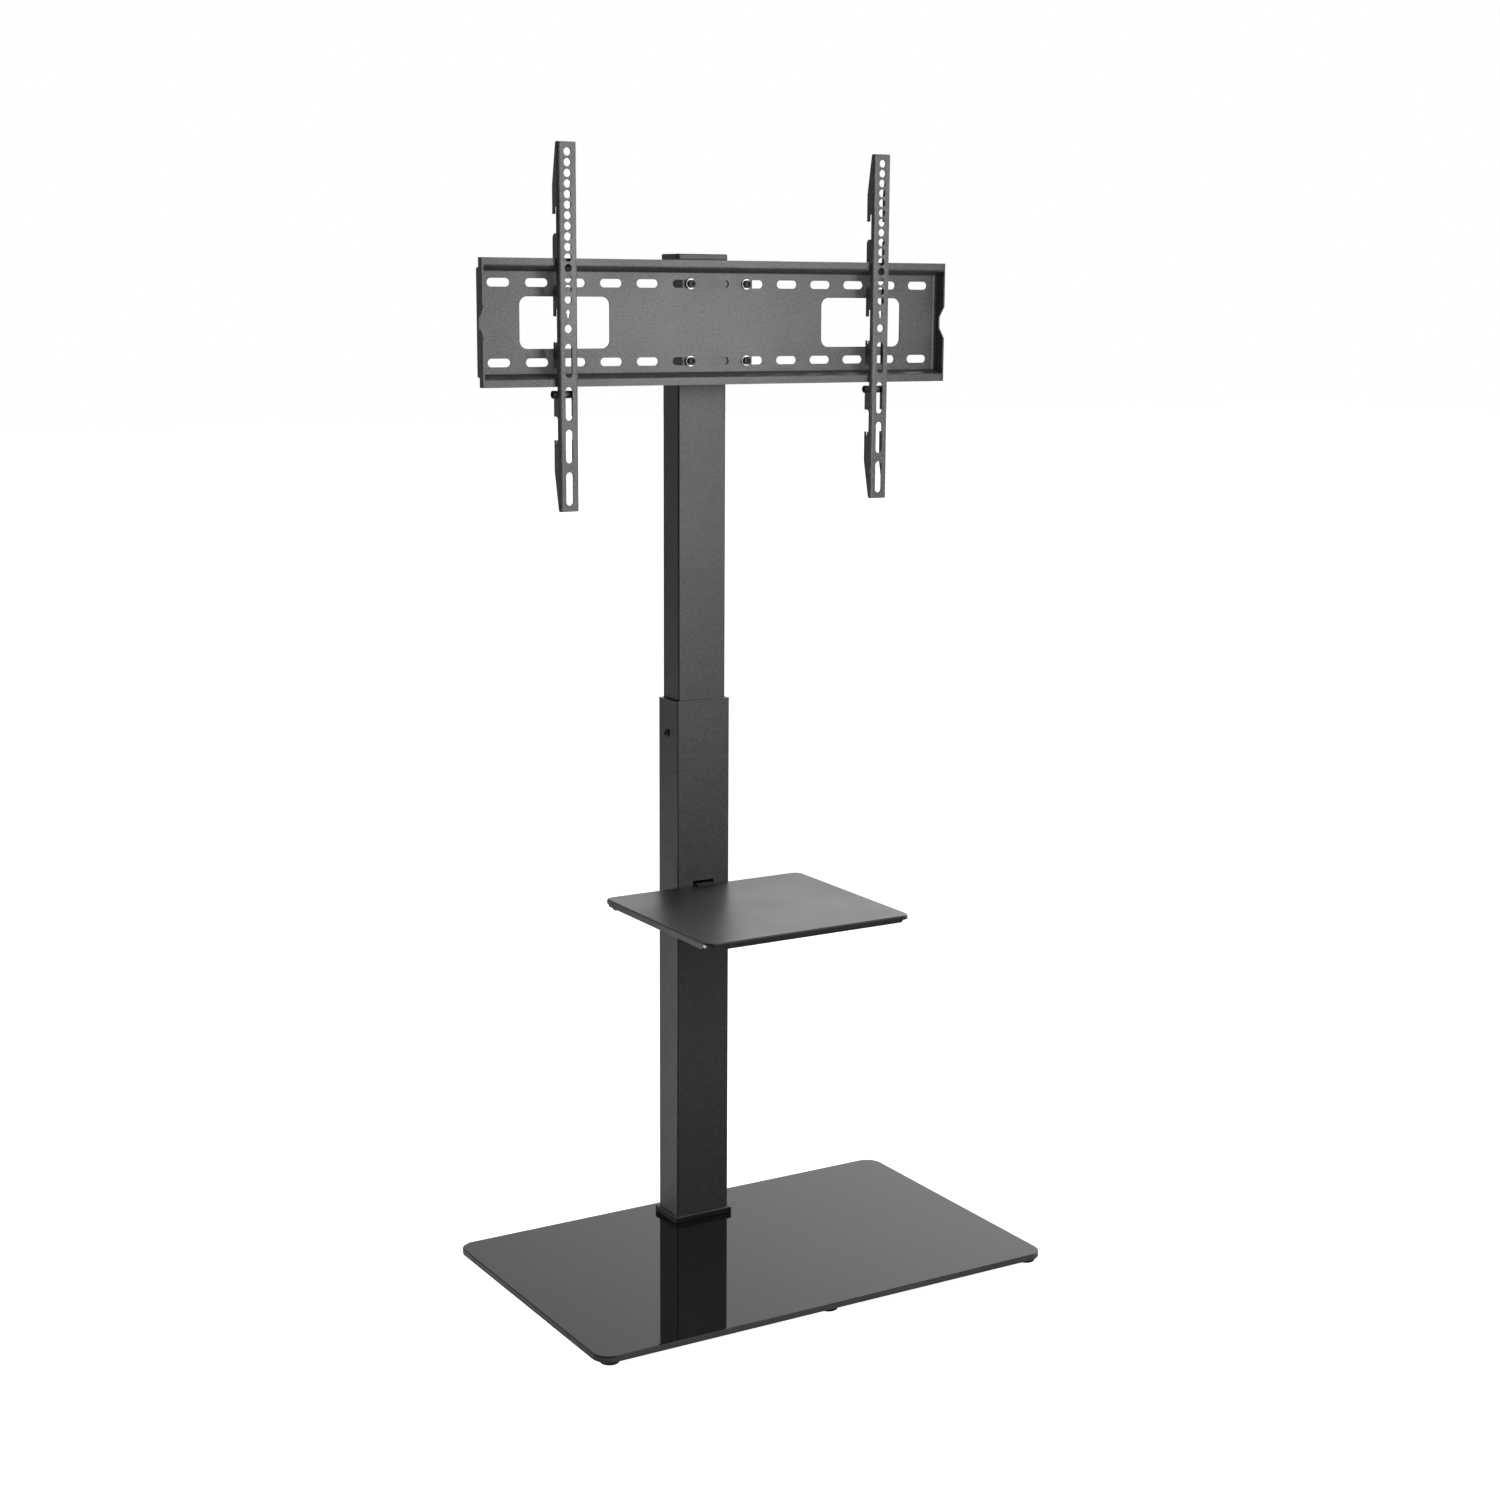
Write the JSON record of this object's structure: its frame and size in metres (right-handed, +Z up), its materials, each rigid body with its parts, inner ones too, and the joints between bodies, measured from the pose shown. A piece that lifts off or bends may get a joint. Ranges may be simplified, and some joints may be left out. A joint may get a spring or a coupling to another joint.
{
  "type": "tv stand with mount",
  "caption": "Floor stand for a flat screen: glass base, telescopic steel column, small media shelf and a slotted mount plate with hook-on screen arms.",
  "frame": {"origin": "on the floor, under the middle of the part's bounding box: the middle of the glass base", "axes": "+Z up, -Y towards the viewer and the side that the screen hangs on, +X to the right seen from the screen side"},
  "size_m": [0.66, 0.405, 1.4083],
  "materials": {
    "black_glass": "gloss, back painted",
    "painted_steel": "fine textured powder coat",
    "black_plastic": "matt",
    "white_nylon": "satin",
    "foot_rubber": "matt",
    "dark_zinc": "black zinc",
    "bright_zinc": "bright zinc"
  },
  "bodies": {
    "base": {"glass_base": "black_glass", "base_feet": "foot_rubber", "under_pad": "foot_rubber", "under_plate": "painted_steel", "base_screws": "dark_zinc", "glass_bushes": "white_nylon", "base_gasket": "foot_rubber", "column_foot_plate": "painted_steel", "foot_collar": "black_plastic", "lower_tube": "painted_steel", "tube_bushing": "black_plastic", "shelf": "painted_steel", "shelf_screws": "dark_zinc"},
    "height_lock": {"height_lock_screw": "dark_zinc"},
    "mast": {"upper_tube": "painted_steel", "lower_glide": "black_plastic", "column_cap": "black_plastic", "head_bracket": "painted_steel", "plate_nuts": "bright_zinc", "plate_bolts": "dark_zinc", "plate_washers": "bright_zinc", "mount_plate": "painted_steel"},
    "left_arm": {"arm_left": "painted_steel", "arm_left_lock_sleeve": "black_plastic", "arm_left_lock_nut": "dark_zinc"},
    "left_arm_lock": {"arm_left_lock_screw": "dark_zinc"},
    "right_arm": {"arm_right": "painted_steel", "arm_right_lock_sleeve": "black_plastic", "arm_right_lock_nut": "dark_zinc"},
    "right_arm_lock": {"arm_right_lock_screw": "dark_zinc"}
  },
  "joints": [
    {"name": "mast_height", "type": "slide", "parent": "base", "child": "mast", "axis": [0, 0, 1], "range_m": [-0.1, 0]},
    {"name": "height_lock_turn", "type": "hinge", "parent": "base", "child": "height_lock", "pos_m": [-0.039, 0.1505, 0.674], "axis": [1, 0, 0], "range_deg": [-720, 0]},
    {"name": "left_arm_slide", "type": "slide", "parent": "mast", "child": "left_arm", "axis": [-1, 0, 0], "range_m": [-0.197, 0.0935]},
    {"name": "left_arm_lock_turn", "type": "hinge", "parent": "left_arm", "child": "left_arm_lock", "pos_m": [-0.23415, 0.074, 1.114], "axis": [1, 0, 0], "range_deg": [-720, 0]},
    {"name": "right_arm_slide", "type": "slide", "parent": "mast", "child": "right_arm", "axis": [1, 0, 0], "range_m": [-0.197, 0.09]},
    {"name": "right_arm_lock_turn", "type": "hinge", "parent": "right_arm", "child": "right_arm_lock", "pos_m": [0.21225, 0.074, 1.114], "axis": [1, 0, 0], "range_deg": [-720, 0]}
  ]
}
